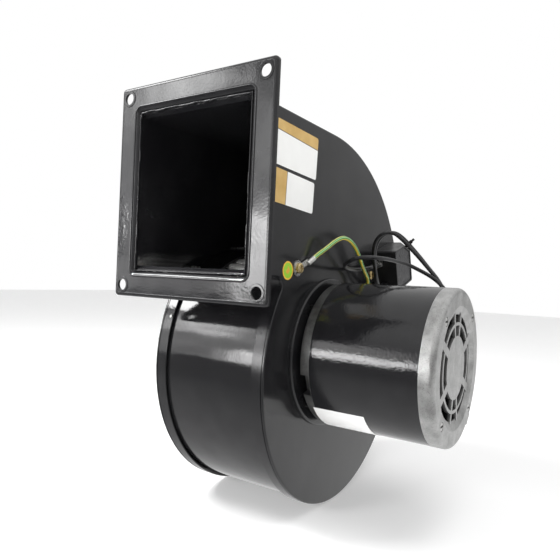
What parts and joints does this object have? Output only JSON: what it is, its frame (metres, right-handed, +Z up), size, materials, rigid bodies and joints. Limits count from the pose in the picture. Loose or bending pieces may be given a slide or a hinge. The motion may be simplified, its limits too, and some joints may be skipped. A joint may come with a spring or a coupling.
{
  "type": "blower fan",
  "caption": "Direct-drive centrifugal blower: forward-curved wheel in a scroll housing with a rectangular outlet flange, its motor and run capacitor on one side plate.",
  "frame": {"origin": "centre of the outlet flange's front face", "axes": "-Y is the way the outlet blows, +X is along the shaft to the motor, +Z is up"},
  "size_m": [0.254, 0.309, 0.3614],
  "materials": {
    "black_enamel": "glossy black enamel",
    "dark_plate": "dark oiled steel sheet",
    "blade_metal": "bright rolled sheet",
    "turned_steel": "turned, bare",
    "screw_steel": "zinc plated",
    "bearing_steel": "ground",
    "core_steel": "stacked sheets, varnished",
    "winding_copper": "enamelled copper wire, varnished",
    "cast_aluminium": "die cast, fine grain",
    "case_plastic": "satin black moulding",
    "potting_resin": "rough poured resin",
    "tinned_metal": "tinned sheet",
    "screw_brass": "yellow plated",
    "washer_steel": "zinc plated, toothed",
    "wire_green": "green with yellow stripes",
    "wire_black": "satin insulation",
    "grommet_rubber": "moulded rubber"
  },
  "bodies": {
    "housing": {"outlet_flange": "black_enamel", "scroll_wrapper": "black_enamel", "motor_side_plate": "black_enamel", "inlet_side_plate": "black_enamel", "inlet_ring": "dark_plate", "inlet_ring_screws": "screw_steel", "motor_shell": "black_enamel", "front_end_bell": "cast_aluminium", "rear_end_bell": "cast_aluminium", "front_bearing": "bearing_steel", "rear_bearing": "bearing_steel", "stator_core": "core_steel", "stator_windings": "winding_copper", "motor_bolts": "screw_steel", "motor_bolt_nuts": "screw_steel", "motor_spacers": "turned_steel", "run_capacitor": "case_plastic", "capacitor_potting": "potting_resin", "capacitor_clip": "tinned_metal", "capacitor_screw": "screw_brass", "ground_washer": "washer_steel", "ground_terminal": "tinned_metal", "ground_screw": "screw_brass", "ground_wire": "wire_green", "loop_lead": "wire_black", "arch_lead": "wire_black", "back_lead": "wire_black", "lead_grommets": "grommet_rubber", "ground_grommet": "grommet_rubber"},
    "rotor": {"wheel_blades": "blade_metal", "wheel_end_ring": "dark_plate", "wheel_back_plate": "blade_metal", "wheel_hub": "turned_steel", "hub_set_screw": "screw_steel", "motor_shaft": "turned_steel", "rotor_core": "core_steel", "rotor_end_rings": "cast_aluminium", "oil_slingers": "turned_steel"}
  },
  "joints": [
    {"name": "wheel_spin", "type": "hinge", "parent": "housing", "child": "rotor", "pos_m": [0.05, 0.1315, -0.1315], "axis": [1, 0, 0], "continuous": true}
  ]
}
